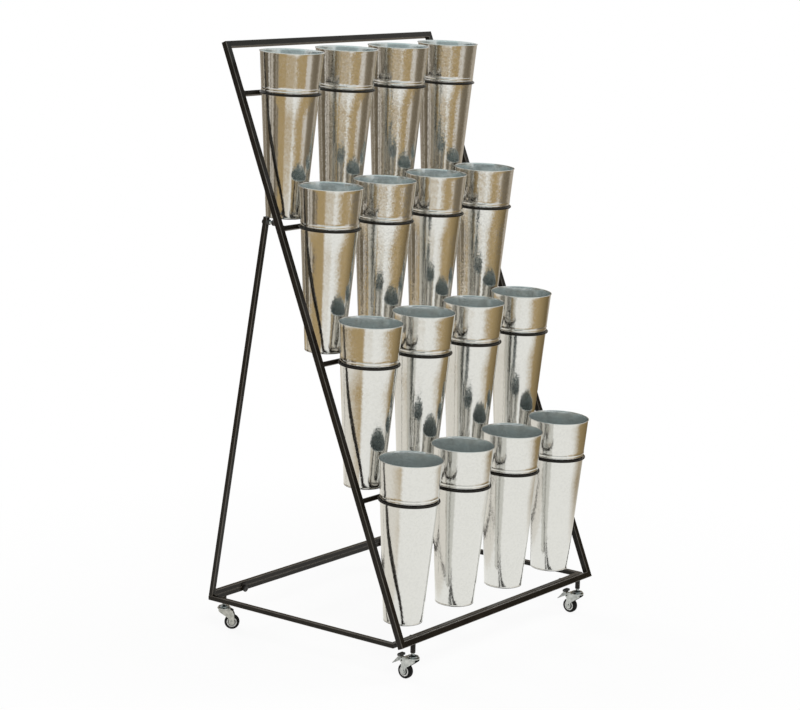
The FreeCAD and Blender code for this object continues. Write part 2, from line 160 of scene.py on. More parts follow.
sheetLook = {"name": "galvanisedSheet", "spangle": 250.0, "ragged": 0.002, "tilt": 0.034, "gloss": (0.10, 0.17), "metal": 1.0,
             "dark": (0.700, 0.698, 0.674), "light": (0.726, 0.724, 0.700)}
spangleLook = {"name": "spangledSheet", "spangle": 310.0, "ragged": 0.002, "tilt": 0.055, "gloss": (0.09, 0.20), "metal": 1.0,
               "dark": (0.660, 0.656, 0.632), "light": (0.735, 0.733, 0.708)}
# Near-black sheet for the hem's lowest turn: painted shade in the gap under the hem
hemLook = {"name": "hemSeam", "spangle": 250.0, "ragged": 0.002, "tilt": 0.02, "gloss": (0.32, 0.48), "metal": 0.9,
           "dark": (0.05, 0.05, 0.046), "light": (0.10, 0.10, 0.095)}
# Sheet for the insides: less metallic, and its darker blue-grey tone is painted shade on the insides
insideLook = {"name": "galvanisedInside", "spangle": 150.0, "ragged": 0.003, "tilt": 0.012, "gloss": (0.12, 0.20), "metal": 0.78,
              "dark": (0.520, 0.570, 0.565), "light": (0.580, 0.625, 0.620)}
sheetForm = {"rag": 260.0, "cloud": 14.0, "dent": 6.0, "dentDepth": 0.0004, "grain": 900.0}  # the same for every sheet


def makeGalvanisedSheet(look):
    # Zinc crystals: ragged cells, each with its own tilt, tone and gloss, over a slightly wavy sheet
    material, tree, shader, coords = startMaterial(look["name"])
    rag = addNode(tree, "ShaderNodeTexNoise", {"Vector": coords, "Scale": sheetForm["rag"], "Detail": 2.0}).outputs["Color"]
    shift = vectorMath(tree, "SCALE", {0: rag, "Scale": look["ragged"]})
    ragged = vectorMath(tree, "ADD", {0: coords, 1: shift})
    cells = addNode(tree, "ShaderNodeTexVoronoi", {"Vector": ragged, "Scale": look["spangle"]})
    tone = addNode(tree, "ShaderNodeSeparateColor", {"Color": cells.outputs["Color"]})
    cloud = noiseValue(tree, coords, sheetForm["cloud"])
    shade = spread(tree, combine(tree, tone.outputs["Red"], cloud, "ADD"), 0.0, 1.0, 0.3, 1.5)
    tree.links.new(blendColour(tree, shade, look["dark"], look["light"]), shader.inputs["Base Color"])
    tree.links.new(spread(tree, tone.outputs["Green"], *look["gloss"], 0.0, 1.0), shader.inputs["Roughness"])
    centred = vectorMath(tree, "SUBTRACT", {0: cells.outputs["Color"], 1: (0.5, 0.5, 0.5)})
    lean = vectorMath(tree, "SCALE", {0: centred, "Scale": look["tilt"]})
    normal = tree.nodes.new("ShaderNodeNewGeometry").outputs["Normal"]
    unit = vectorMath(tree, "NORMALIZE", {0: vectorMath(tree, "ADD", {0: normal, 1: lean})})
    wavy = addBump(tree, noiseValue(tree, coords, sheetForm["dent"], 1.0), 1.0, sheetForm["dentDepth"], unit)
    fine = addBump(tree, noiseValue(tree, coords, sheetForm["grain"], 2.0), 0.05, 0.0003, wavy)
    tree.links.new(fine, shader.inputs["Normal"])
    shader.inputs["Metallic"].default_value = look["metal"]
    return material


galvanisedSheet = makeGalvanisedSheet(sheetLook)
spangledSheet = makeGalvanisedSheet(spangleLook)
galvanisedInside = makeGalvanisedSheet(insideLook)
hemSeam = makeGalvanisedSheet(hemLook)
print("materials made")


def lathe(bm, profile, segments, closed=False, swell=None, material=0, finishes=None, place=None):
    # Turns (radius, height) pairs about the z axis; a radius of zero is a pole; finishes gives a material for each pair
    rings = []
    for index, (radius, height) in enumerate(profile):
        if radius < 1e-6:
            rings.append([bm.verts.new((0, 0, height))])
            continue
        ring = []
        for step in range(segments):
            angle = 2 * math.pi * step / segments
            reach = radius + (swell(index, angle) if swell else 0)
            ring.append(bm.verts.new((reach * math.cos(angle), reach * math.sin(angle), height)))
        rings.append(ring)
    pairs = list(zip(rings, rings[1:]))
    if closed:
        pairs.append((rings[-1], rings[0]))
    for index, (low, high) in enumerate(pairs):
        finish = finishes(index) if finishes else material
        for step in range(segments):
            after = (step + 1) % segments
            corners = [low[step % len(low)], low[after % len(low)], high[after % len(high)], high[step % len(high)]]
            corners = list(dict.fromkeys(corners))
            bm.faces.new(corners).material_index = finish
    if place:
        bmesh.ops.transform(bm, matrix=place, verts=sum(rings, []))


def mirrored(side):
    # A profile with two like ends, from one of them
    return side + [(radius, -level) for radius, level in side[::-1]]


def extrudeOutline(bm, outline, low, high, place=None):
    # Prism along x from an outline of (y, z) pairs
    near = [bm.verts.new((low, y, z)) for y, z in outline]
    far = [bm.verts.new((high, y, z)) for y, z in outline]
    bm.faces.new(near)
    bm.faces.new(far[::-1])
    for step in range(len(outline)):
        after = (step + 1) % len(outline)
        bm.faces.new((near[step], far[step], far[after], near[after]))
    if place:
        bmesh.ops.transform(bm, matrix=place, verts=near + far)
    return near + far


def roundOutline(points, radii, steps=5):
    # Fillets the corners of a closed outline; a radius of zero keeps the corner
    rounded = []
    count = len(points)
    for index, radius in enumerate(radii):
        here = Vector(points[index])
        toBack = (Vector(points[index - 1]) - here)
        toNext = (Vector(points[(index + 1) % count]) - here)
        if radius == 0:
            rounded.append(tuple(here))
            continue
        half = toBack.angle(toNext) / 2
        cut = min(radius / math.tan(half), toBack.length * 0.49, toNext.length * 0.49)
        first = here + toBack.normalized() * cut
        last = here + toNext.normalized() * cut
        for step in range(steps + 1):
            t = step / steps
            point = first * (1 - t) ** 2 + here * 2 * t * (1 - t) + last * t ** 2
            rounded.append(tuple(point))
    return rounded


def roundEdges(bm, width, segments=2, angle=40):
    sharp = [edge for edge in bm.edges if len(edge.link_faces) == 2 and edge.calc_face_angle(0) > math.radians(angle)]
    bmesh.ops.bevel(bm, geom=sharp, offset=width, segments=segments, profile=0.5, affect="EDGES", clamp_overlap=True)


def linkObject(name, data):
    thing = bpy.data.objects.new(name, data)
    bpy.context.scene.collection.objects.link(thing)
    return thing


def makeObject(name, bm, place, materials, smooth=32):
    bmesh.ops.transform(bm, matrix=place, verts=bm.verts)
    bmesh.ops.recalc_face_normals(bm, faces=bm.faces)
    mesh = bpy.data.meshes.new(name)
    bm.to_mesh(mesh)
    bm.free()
    for material in materials:
        mesh.materials.append(material)
    mesh.polygons.foreach_set("use_smooth", [smooth > 0] * len(mesh.polygons))
    if smooth:
        mesh.set_sharp_from_angle(angle=math.radians(smooth))
    return linkObject(name, mesh)


def addPiece(piece, body, slot, *nodes):
    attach(piece, body)
    if nodes:
        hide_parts(*nodes)
    return piece


def makePiece(name, bm, place, materials, smooth, *said):
    # Said are the body, the slot (not used) and the nodes that it replaces
    return addPiece(makeObject(name, bm, place, materials, smooth), *said)


def startTree(name, sockets):
    tree = bpy.data.node_groups.new(name, "GeometryNodeTree")
    tree.interface.new_socket("Geometry", in_out="INPUT", socket_type="NodeSocketGeometry")
    keys = {}
    for label, kind in sockets:
        keys[label] = tree.interface.new_socket(label, in_out="INPUT", socket_type=kind).identifier
    tree.interface.new_socket("Geometry", in_out="OUTPUT", socket_type="NodeSocketGeometry")
    return tree, keys, tree.nodes.new("NodeGroupInput").outputs


def endTree(tree, geometry, material):
    real = addNode(tree, "GeometryNodeRealizeInstances", {"Geometry": geometry}).outputs["Geometry"]
    coated = addNode(tree, "GeometryNodeSetMaterial", {"Geometry": real, "Material": material}).outputs["Geometry"]
    tree.links.new(coated, tree.nodes.new("NodeGroupOutput").inputs["Geometry"])


def makeRingTree():
    # A wire circle on every point, leaned about the x axis
    sockets = (("Ring Radius", "NodeSocketFloat"), ("Wire Radius", "NodeSocketFloat"), ("Lean", "NodeSocketRotation"),
               ("Round Steps", "NodeSocketInt"), ("Wire Steps", "NodeSocketInt"), ("Material", "NodeSocketMaterial"))
    tree, keys, given = startTree("wireRings", sockets)
    hoop = addNode(tree, "GeometryNodeCurvePrimitiveCircle",
                   {"Resolution": given["Round Steps"], "Radius": given["Ring Radius"]})
    wire = addNode(tree, "GeometryNodeCurvePrimitiveCircle",
                   {"Resolution": given["Wire Steps"], "Radius": given["Wire Radius"]})
    swept = addNode(tree, "GeometryNodeCurveToMesh", {"Curve": hoop.outputs["Curve"], "Profile Curve": wire.outputs["Curve"]})
    soft = addNode(tree, "GeometryNodeSetShadeSmooth", {"Geometry": swept.outputs["Mesh"]})
    values = {"Points": given["Geometry"], "Instance": soft.outputs["Geometry"], "Rotation": given["Lean"]}
    placed = addNode(tree, "GeometryNodeInstanceOnPoints", values)
    endTree(tree, placed.outputs["Instances"], given["Material"])
    return tree, keys


def makeScatterTree():
    # One small piece on every point, its z axis along the point's aim, turned by its spin
    sockets = (("Piece", "NodeSocketObject"), ("Least Size", "NodeSocketVector"), ("Greatest Size", "NodeSocketVector"),
               ("Seed", "NodeSocketInt"), ("Material", "NodeSocketMaterial"))
    tree, keys, given = startTree("pieceOnPoints", sockets)
    source = addNode(tree, "GeometryNodeObjectInfo", {"Object": given["Piece"]}, transform_space="ORIGINAL")
    aim = addNode(tree, "GeometryNodeInputNamedAttribute", {"Name": "aim"}, data_type="FLOAT_VECTOR").outputs["Attribute"]
    spin = addNode(tree, "GeometryNodeInputNamedAttribute", {"Name": "spin"}, data_type="FLOAT").outputs["Attribute"]
    along = addNode(tree, "FunctionNodeAlignRotationToVector", {"Vector": aim}, axis="Z")
    turn = addNode(tree, "FunctionNodeAxisAngleToRotation", {"Axis": (0, 0, 1), "Angle": spin})
    values = {"Rotation": along.outputs["Rotation"], "Rotate By": turn.outputs["Rotation"]}
    facing = addNode(tree, "FunctionNodeRotateRotation", values, rotation_space="LOCAL")
    size = tree.nodes.new("FunctionNodeRandomValue")
    size.data_type = "FLOAT_VECTOR"
    tree.links.new(given["Least Size"], size.inputs[0])
    tree.links.new(given["Greatest Size"], size.inputs[1])
    tree.links.new(given["Seed"], size.inputs["Seed"])
    values = {"Points": given["Geometry"], "Instance": source.outputs["Geometry"],
              "Rotation": facing.outputs["Rotation"], "Scale": size.outputs[0]}
    placed = addNode(tree, "GeometryNodeInstanceOnPoints", values)
    endTree(tree, placed.outputs["Instances"], given["Material"])
    return tree, keys


def pointMesh(name, spots):
    # Bare points that a tree fills; each spot is (place, aim, spin)
    mesh = bpy.data.meshes.new(name)
    mesh.from_pydata([spot[0] for spot in spots], [], [])
    mesh.attributes.new("aim", "FLOAT_VECTOR", "POINT")
    mesh.attributes.new("spin", "FLOAT", "POINT")
    for index, spot in enumerate(spots):
        mesh.attributes["aim"].data[index].vector = spot[1]
        mesh.attributes["spin"].data[index].value = spot[2]
    return linkObject(name, mesh)


def applyTree(piece, tree, keys, values):
    modifier = piece.modifiers.new(tree.name, "NODES")
    modifier.node_group = tree
    for label, value in values.items():
        modifier[keys[label]] = value
    graph = bpy.context.evaluated_depsgraph_get()
    mesh = bpy.data.meshes.new_from_object(piece.evaluated_get(graph), preserve_all_data_layers=True, depsgraph=graph)
    piece.modifiers.remove(modifier)
    mesh.name = piece.name
    for name in ("aim", "spin"):
        if name in mesh.attributes:
            mesh.attributes.remove(mesh.attributes[name])
    piece.data = mesh
    return piece


ringTree, ringKeys = makeRingTree()
scatterTree, scatterKeys = makeScatterTree()


def scatter(name, source, spots, material, *said, between=((1, 1, 1), (1, 1, 1))):
    # A copy of the source on every spot, as one piece; the source isn't kept
    values = {"Piece": source, "Least Size": between[0], "Greatest Size": between[1], "Seed": 3, "Material": material}
    addPiece(applyTree(pointMesh(name, spots), scatterTree, scatterKeys, values), *said)
    mesh = source.data
    bpy.data.objects.remove(source)
    bpy.data.meshes.remove(mesh)


tubes = {"frameSize": 15.0, "barSize": 12.0, "corner": 1.5, "cornerSteps": 4, "endRound": 0.35,
         "legTop": 1072.0, "legGap": 32.7}


def squareSection(size):
    half = size / 2 - tubes["corner"]
    points = []
    for quarter, (a, b) in enumerate(((1, 1), (-1, 1), (-1, -1), (1, -1))):
        for step in range(tubes["cornerSteps"] + 1):
            angle = math.pi / 2 * (quarter + step / tubes["cornerSteps"])
            points.append((a * half + tubes["corner"] * math.cos(angle), b * half + tubes["corner"] * math.sin(angle)))
    return points


def addTube(name, start, end, side, rise, size, startCut=None, endCut=None):
    # An end with a cut is mitred on that plane, and a free end is square with a softened edge
    along = (end - start).normalized()
    bm = bmesh.new()
    rings = []
    soften = tubes["endRound"] * mm
    ends = [(start, startCut, 1), (end, endCut, -1)]
    for point, cut, inward in ends:
        shapes = [(0, 1)] if cut else [(0, 1 - 2 * soften / (size * mm)), (soften, 1)]
        if inward < 0:
            shapes.reverse()
        for inset, shrink in shapes:
            ring = []
            for a, b in squareSection(size):
                offset = (side * a + rise * b) * mm * shrink
                normal = cut or along
                slide = -offset.dot(normal) / along.dot(normal) + inset * inward
                ring.append(bm.verts.new(point + offset + along * slide))
            rings.append(ring)
    for low, high in zip(rings, rings[1:]):
        for step in range(len(low)):
            after = (step + 1) % len(low)
            face = bm.faces.new((low[step], low[after], high[after], high[step]))
            edgeGlint = step % (tubes["cornerSteps"] + 1) < tubes["cornerSteps"]  # the corners get the paler coat: a painted highlight along the edges
            face.material_index = 1 if edgeGlint else 0
    bm.faces.new(rings[0][::-1])
    bm.faces.new(rings[-1])
    makePiece(name + "Tube", bm, Matrix.Identity(4), [frameCoat, rubbedEdge], 0, "stand", "frame_coat", name)


def addBar(name, half, side, rise, size, turn=0):
    # A level bar from left to right, with mitred ends where it turns a corner
    centre, reach = boxCentre(name), xAxis * half
    cuts = (xAxis + side * turn, xAxis - side * turn) if turn else ()
    addTube(name, centre - reach, centre + reach, side, rise, size, *cuts)


barFoot, barHead = boxCentre("bottom_bar"), boxCentre("top_bar")
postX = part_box("bottom_bar")[1].x - tubes["frameSize"] * mm / 2
slope = (barHead - barFoot).normalized()
back = Vector((0, slope.z, -slope.y))


def makeDisplayFrame():
    middle = (barFoot + barHead) / 2
    size = tubes["frameSize"]
    for side, sign in handed:
        shift = xAxis * sign * postX
        footCut, headCut = slope + xAxis * sign, slope - xAxis * sign
        addTube("post_lower_" + side, barFoot + shift, middle + shift, xAxis, back, size, footCut, None)
        addTube("post_upper_" + side, middle + shift, barHead + shift, xAxis, back, size, None, headCut)
    addBar("top_bar", postX, slope, back, size, 1)
    addBar("bottom_bar", postX, slope, back, size, -1)
    for tier in range(1, 5):
        addBar("tier_bar_" + str(tier), postX - size * mm / 2, slope, back, tubes["barSize"])


def legLine(sign):
    # Foot on the base, head a little behind the post
    top = tubes["legTop"] * mm
    headY = barFoot.y + (top - barFoot.z) * slope.y / slope.z + tubes["legGap"] * mm
    foot = Vector((sign * postX, boxCentre("leg_bar").y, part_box("leg_bar")[0].z))
    return foot, Vector((sign * postX, headY, top))


def makeBaseAndLegs():
    size = tubes["barSize"]
    front, rear = boxCentre("base_front_bar"), boxCentre("base_rear_bar")
    for side, sign in handed:
        shift = xAxis * sign * postX
        addTube("base_rail_" + side, front + shift, rear + shift, xAxis, zAxis, size,
                yAxis + xAxis * sign, yAxis - xAxis * sign)
        foot, head = legLine(sign)
        along = (head - foot).normalized()
        addTube("leg_" + side, foot, head, xAxis, Vector((0, along.z, -along.y)), size, zAxis, None)
    addBar("base_front_bar", postX, yAxis, zAxis, size, -1)
    addBar("base_rear_bar", postX, yAxis, zAxis, size, 1)
    addBar("leg_bar", postX - size * mm / 2, yAxis, zAxis, size)


makeDisplayFrame()
makeBaseAndLegs()
print("tubes made")


ring = {"radius": 72.6, "wire": 5.0, "steps": 96, "wireSteps": 14, "lean": 2.0}
bucket = {"height": 400.0, "mouth": 77.0, "base": 48.0, "wall": 0.8, "seat": 100.0, "rimReach": 78.5, "rimRound": 1.0,
          "segments": 96, "beads": (6.5, 13.0), "beadRise": 0.6, "beadHalf": 1.9, "hem": 3.5, "recess": 3.0,
          "seamRise": 0.7, "seamHalf": 5.7, "spangled": ((1, 2), (1, 3), (1, 4), (2, 2), (2, 4))}
bead = {"size": 1.5, "step": 1.9, "ringRun": 13.0, "barRun": 10.0}
bucketLean = Matrix.Rotation(math.radians(ring["lean"]), 4, "X")


def ringCentre(tier, place):
    # Down the bucket's axis from the middle of its rim, which its box and its lean give
    name = "bucket_" + str(tier) + "_" + str(place)
    low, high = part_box(name)
    lean, reach = math.radians(ring["lean"]), bucket["rimReach"] * mm
    rim = Vector((boxCentre(name).x, low.y + reach * math.cos(lean), high.z - reach * math.sin(lean)))
    return rim - bucketLean @ zAxis * bucket["seat"] * mm


def bucketProfile():
    size = bucket
    top = size["seat"]
    bottom = top - size["height"]
    taper = (size["mouth"] - size["base"]) / size["height"]

    def wallAt(height):
        return size["mouth"] - taper * (top - height)

    outside = [(wallAt(bottom) - 0.9, bottom), (wallAt(bottom) - 0.25, bottom + 0.15), (wallAt(bottom), bottom + 1.3)]
    hemTop = bottom + size["hem"]
    outside += [(wallAt(hemTop), hemTop), (wallAt(hemTop) - 0.2, hemTop + 0.3), (wallAt(hemTop + 1) - 0.2, hemTop + 1)]
    for share in (0.2, 0.4, 0.6, 0.8):
        height = bottom * (1 - share)
        outside.append((wallAt(height) - 0.2 * (1 - share), height))
    for centre in size["beads"]:
        for step in range(-3, 4):
            height = centre + size["beadHalf"] * step / 3
            rise = size["beadRise"] * (0.5 + 0.5 * math.cos(math.pi * step / 3))
            outside.append((wallAt(height) + rise, height))
    for height in (20.0, 45.0, 70.0, 90.0, top - 4.2):
        outside.append((wallAt(height), height))
    roll = size["rimRound"]
    rimR, rimH = size["rimReach"] - roll, top - roll
    for step in range(0, 11):
        angle = math.radians(-115 + step * 29)
        outside.append((rimR + roll * math.cos(angle), rimH + roll * math.sin(angle)))
    inside = []
    for height in (top - 5.0, 70.0, 30.0, -60.0, -150.0, -240.0, bottom + size["recess"] + 2.5):
        inside.append((wallAt(height) - size["wall"], height))
    floor = bottom + size["recess"]
    inside += [(wallAt(floor) - size["wall"] - 0.6, floor + 1.0), (wallAt(floor) - size["wall"] - 2.4, floor + size["wall"])]
    inside += [(22.0, floor + size["wall"]), (0, floor + size["wall"])]
    under = [(0, floor), (22.0, floor), (wallAt(bottom) - 2.6, floor), (wallAt(bottom) - 1.7, floor - 0.8)]
    under += [(wallAt(bottom) - 1.5, bottom + 0.5)]
    return outside, inside, under


def makeBuckets():
    outside, inside, under = bucketProfile()
    profile = under + outside + inside
    first, last = len(under) + 3, len(under) + len(outside) - 12

    def seam(index, angle):
        # Lap seam down the side that faces the frame
        away = abs(math.degrees(angle) - 90)
        return bucket["seamRise"] if first <= index <= last and away < bucket["seamHalf"] else 0

    def finishAt(index):
        # The lowest turn of the hem gets a near-black sheet, painted shade in the gap under the hem, and the darker
        # lining, partly painted shade, starts inside the rim
        if index >= len(under) + len(outside) - 1:
            return 1
        return 2 if len(under) <= index < len(under) + 2 else 0

    for tier in range(1, 5):
        for place in range(1, 5):
            name = "bucket_" + str(tier) + "_" + str(place)
            bm = bmesh.new()
            lathe(bm, profile, bucket["segments"], swell=seam, finishes=finishAt)
            spot = Matrix.Translation(ringCentre(tier, place)) @ bucketLean @ Matrix.Scale(mm, 4)
            sheet = spangledSheet if (tier, place) in bucket["spangled"] else galvanisedSheet
            makePiece("sheet_" + name, bm, spot, [sheet, galvanisedInside, hemSeam], 50, name, "galvanised_sheet", name)


makeBuckets()
print("buckets made")


def makeRings():
    centres = [ringCentre(tier, place) for tier in range(1, 5) for place in range(1, 5)]
    piece = pointMesh("wireRings", [(centre, zAxis, 0) for centre in centres])
    values = {"Ring Radius": ring["radius"] * mm, "Wire Radius": ring["wire"] * mm / 2,
              "Lean": (math.radians(ring["lean"]), 0, 0), "Round Steps": ring["steps"],
              "Wire Steps": ring["wireSteps"], "Material": frameCoat}
    applyTree(piece, ringTree, ringKeys, values)
    addPiece(piece, "stand", "frame_coat", "ring_row_1", "ring_row_2", "ring_row_3", "ring_row_4")


def weldRun(middle, along, aim, length):
    count = int(length / bead["step"]) + 1
    spots = []
    for step in range(count):
        offset = (step - (count - 1) / 2) * bead["step"] * mm
        spots.append((middle + along * offset, aim, step * 1.7))
    return spots


def makeWelds():
    bm = bmesh.new()
    bmesh.ops.create_icosphere(bm, subdivisions=2, radius=bead["size"] * mm)
    source = makeObject("beadSource", bm, Matrix.Diagonal((1, 1, 0.7, 1)), [frameCoat], 60)
    spots = []
    half = tubes["barSize"] * mm / 2
    for tier in range(1, 5):
        centre = boxCentre("tier_bar_" + str(tier))
        face = -back * half
        for place in range(1, 5):
            hoop = ringCentre(tier, place)
            rise = (hoop - centre).dot(slope) - ring["radius"] * mm * slope.dot(bucketLean @ -yAxis)
            for side in (-1, 1):
                seat = centre + xAxis * hoop.x + face + slope * (rise + side * ring["wire"] * mm * 0.42)
                spots += weldRun(seat, xAxis, -back, bead["ringRun"])
        for sign in (-1, 1):
            end = centre + xAxis * sign * (postX - tubes["frameSize"] * mm / 2)
            for side in (-1, 1):
                spots += weldRun(end + slope * side * half, back, (slope * side - xAxis * sign).normalized(), bead["barRun"])
    legBar = boxCentre("leg_bar")
    for sign in (-1, 1):
        end = legBar + xAxis * sign * (postX - half)
        spots += weldRun(end + zAxis * half, yAxis, (zAxis - xAxis * sign).normalized(), bead["barRun"])
    between = (0.85, 0.85, 0.8), (1.15, 1.2, 1.1)
    scatter("weldBeads", source, spots, frameCoat, "stand", "frame_coat", between=between)


makeRings()
makeWelds()
print("rings and welds made")


boltSizes = {"nutRadius": 7.0, "legDome": (6.6, 2.4), "frontHead": (5.5, 4.0), "screwHead": (4.5, 3.5), "legDrop": 12.0,
             "nutLength": 7.0, "bushLength": 9.0, "bushRadius": 7.5, "threadRadius": 4.0, "threadPitch": 1.25,
             "screwDrop": 30.0, "frontInset": 80.0, "frontBush": 6.0}


def hexHead(radius, height, name):
    # Six-sided head with a turned crown: the corners are cut back to a circle
    bm = bmesh.new()
    sides = 24
    flat = radius * math.cos(math.pi / 6)
    levels = ((0, 1.0), (height * 0.82, 1.0), (height, 0.86))
    rings = []
    for level, keep in levels:
        ringVerts = []
        for step in range(sides):
            angle = math.pi * 2 * step / sides
            inSide = (angle + math.pi / 6) % (math.pi / 3) - math.pi / 6
            reach = min(flat / math.cos(inSide), radius * keep)
            drop = max(0, flat / math.cos(inSide) - flat) * 0.35 if level else 0
            ringVerts.append(bm.verts.new((reach * math.cos(angle), reach * math.sin(angle), level - drop)))
        rings.append(ringVerts)
    for low, high in zip(rings, rings[1:]):
        for step in range(sides):
            after = (step + 1) % sides
            bm.faces.new((low[step], low[after], high[after], high[step]))
    bm.faces.new(rings[0][::-1])
    bm.faces.new(rings[-1])
    return makeObject(name, bm, Matrix.Scale(mm, 4), [blackenedSteel], 25)


def screwHead(radius, height, name):
    # Domed head with a round socket
    bm = bmesh.new()
    lathe(bm, ((0, 0), (radius, 0), (radius, height * 0.35), (radius * 0.93, height * 0.7), (radius * 0.7, height * 0.96),
               (radius * 0.5, height), (radius * 0.46, height * 0.95), (radius * 0.44, height * 0.4), (0, height * 0.3)), 24)
    return makeObject(name, bm, Matrix.Scale(mm, 4), [blackenedSteel], 30)


def legBolt(sign):
    # Places along the bolt at a leg's top: leg's rear and front faces, post's rear face
    foot, head = legLine(sign)
    along = (head - foot).normalized()
    height = head.z - boltSizes["legDrop"] * mm
    legY = head.y - along.y / along.z * boltSizes["legDrop"] * mm
    half = tubes["barSize"] * mm / 2 / along.z
    postY = barFoot.y + (height - barFoot.z) * slope.y / slope.z + tubes["frameSize"] * mm / 2 / slope.z
    return Vector((sign * postX, 0, height)), legY + half, legY - half, postY


def makeBoltHeads():
    size = boltSizes
    middle = (barFoot + barHead) / 2
    frontBar = boxCentre("base_front_bar")
    kinds = {"leg": (screwHead(*size["legDome"], "legHead"), []), "front": (hexHead(*size["frontHead"], "frontHead"), []),
             "screw": (screwHead(*size["screwHead"], "screwHead"), [])}
    for sign in (-1, 1):
        line, legRear = legBolt(sign)[:2]
        kinds["leg"][1].append((line + yAxis * legRear, yAxis, 0.3))
        frontX = sign * (postX - size["frontInset"] * mm)
        kinds["front"][1].append((Vector((frontX, frontBar.y + tubes["barSize"] * mm / 2, frontBar.z)), yAxis, 0.2))
        spot = middle + xAxis * sign * postX - slope * size["screwDrop"] * mm + back * tubes["frameSize"] * mm / 2
        kinds["screw"][1].append((spot, back, 0))
    for kind, (source, spots) in kinds.items():
        nodes = ["bolt_heads"] if kind == "leg" else []
        scatter(kind + "BoltHeads", source, spots, blackenedSteel, "stand", "black_fasteners", *nodes)


def makeSpacers():
    # Nut, bare thread and bush on each leg bolt, and a short bush behind the bottom bar
    size = boltSizes
    for side, sign in handed:
        line, _, legFront, postRear = legBolt(sign)
        nut = hexHead(size["nutRadius"], size["nutLength"] + 1.5, "nutSource")
        spots = [(line + yAxis * (legFront + 1.5 * mm), -yAxis, 0.5)]
        scatter("legNut_" + side, nut, spots, blackenedSteel, "stand", "black_fasteners")
        bm = bmesh.new()
        start, end = postRear, legFront - size["nutLength"] * mm
        bush, wide = size["bushLength"], size["bushRadius"]
        profile = [(0, -4), (wide, -4), (wide, bush - 0.8), (wide - 0.8, bush), (0, bush)]
        lathe(bm, profile, 32)
        length = (end - start) / mm + 1
        turns = int((length - bush) / size["threadPitch"])
        thread = [(0, bush - 1)]
        for turn in range(turns + 1):
            level = bush + turn * size["threadPitch"]
            thread += [(size["threadRadius"] - 0.55, level), (size["threadRadius"], level + size["threadPitch"] / 2)]
        thread.append((0, bush + (turns + 1) * size["threadPitch"]))
        lathe(bm, thread, 24, material=1)
        spot = Matrix.Translation(line + yAxis * start) @ Matrix.Rotation(-math.pi / 2, 4, "X") @ Matrix.Scale(mm, 4)
        makePiece("legStud_" + side, bm, spot, [blackenedSteel, brightZinc], 32, "stand", "black_fasteners")
        bm = bmesh.new()
        frontBar = boxCentre("base_front_bar")
        frontX = sign * (postX - size["frontInset"] * mm)
        reach = (frontBar.y - tubes["barSize"] * mm / 2 - barFoot.y) / mm - 3
        lathe(bm, ((0, 0), (size["frontBush"], 0), (size["frontBush"], reach), (0, reach)), 32)
        spot = Matrix.Translation((frontX, frontBar.y - tubes["barSize"] * mm / 2, frontBar.z))
        spot = spot @ Matrix.Rotation(math.pi / 2, 4, "X") @ Matrix.Scale(mm, 4)
        piece = makePiece("frontBush_" + side, bm, spot, [blackenedSteel], 32, "stand", "black_fasteners")
        if sign < 0:
            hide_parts("bolt_spacers")


clamp = {"width": 17.0, "thickness": 2.0, "corner": 3.0, "knobRadius": 8.5, "knobDepth": 6.0, "inset": 115.0,
         "ribs": 28, "ribRadius": 0.7}


def makeClamps():
    plateLow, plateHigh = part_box("clamp_plates")
    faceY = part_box("base_rear_bar")[0].y
    plates, knobs, spots = bmesh.new(), bmesh.new(), []
    knobZ = boxCentre("clamp_knobs").z
    for sign in (-1, 1):
        x = sign * (postX - clamp["inset"] * mm)
        half = clamp["width"] * mm / 2
        outline = [(-half, plateLow.z), (half, plateLow.z), (half, plateHigh.z), (-half, plateHigh.z)]
        outline = roundOutline(outline, [clamp["corner"] * mm] * 4)
        turned = Matrix.Translation((x, faceY, 0)) @ Matrix.Rotation(-math.pi / 2, 4, "Z")
        extrudeOutline(plates, outline, 0, clamp["thickness"] * mm, turned)
        deep, radius = clamp["knobDepth"], clamp["knobRadius"]
        spot = Vector((x, faceY - clamp["thickness"] * mm, knobZ))
        place = Matrix.Translation(spot) @ Matrix.Rotation(math.pi / 2, 4, "X") @ Matrix.Scale(mm, 4)
        lathe(knobs, ((0, 0), (radius - 1.6, 0), (radius - 0.9, 0.9), (radius - 0.7, 1.4), (radius - 0.7, deep - 1.2),
                      (radius - 1.4, deep - 0.3), (radius - 2.6, deep), (3.6, deep), (3.2, deep - 0.8), (0, deep - 0.8)),
              40, place=place)
        for step in range(clamp["ribs"]):
            angle = 2 * math.pi * step / clamp["ribs"]
            out = Vector((math.cos(angle), 0, math.sin(angle)))
            spots.append((spot - yAxis * deep * mm / 2 + out * (radius - clamp["ribRadius"]) * mm, -yAxis, 0))
    roundEdges(plates, 0.35 * mm)
    makePiece("clampPlates", plates, Matrix.Identity(4), [frameCoat], 30, "stand", "frame_coat", "clamp_plates")
    makePiece("clampKnobs", knobs, Matrix.Identity(4), [blackenedSteel], 30, "stand", "black_fasteners", "clamp_knobs")
    bm = bmesh.new()
    half, thick = (clamp["knobDepth"] - 2.4) / 2, clamp["ribRadius"]
    lathe(bm, mirrored([(0, -half), (thick, 0.4 - half)]), 8)
    source = makeObject("ribSource", bm, Matrix.Scale(mm, 4), [blackenedSteel], 40)
    scatter("knobRibs", source, spots, blackenedSteel, "stand", "black_fasteners")


makeBoltHeads()
makeSpacers()
makeClamps()
print("bolts and clamps made")


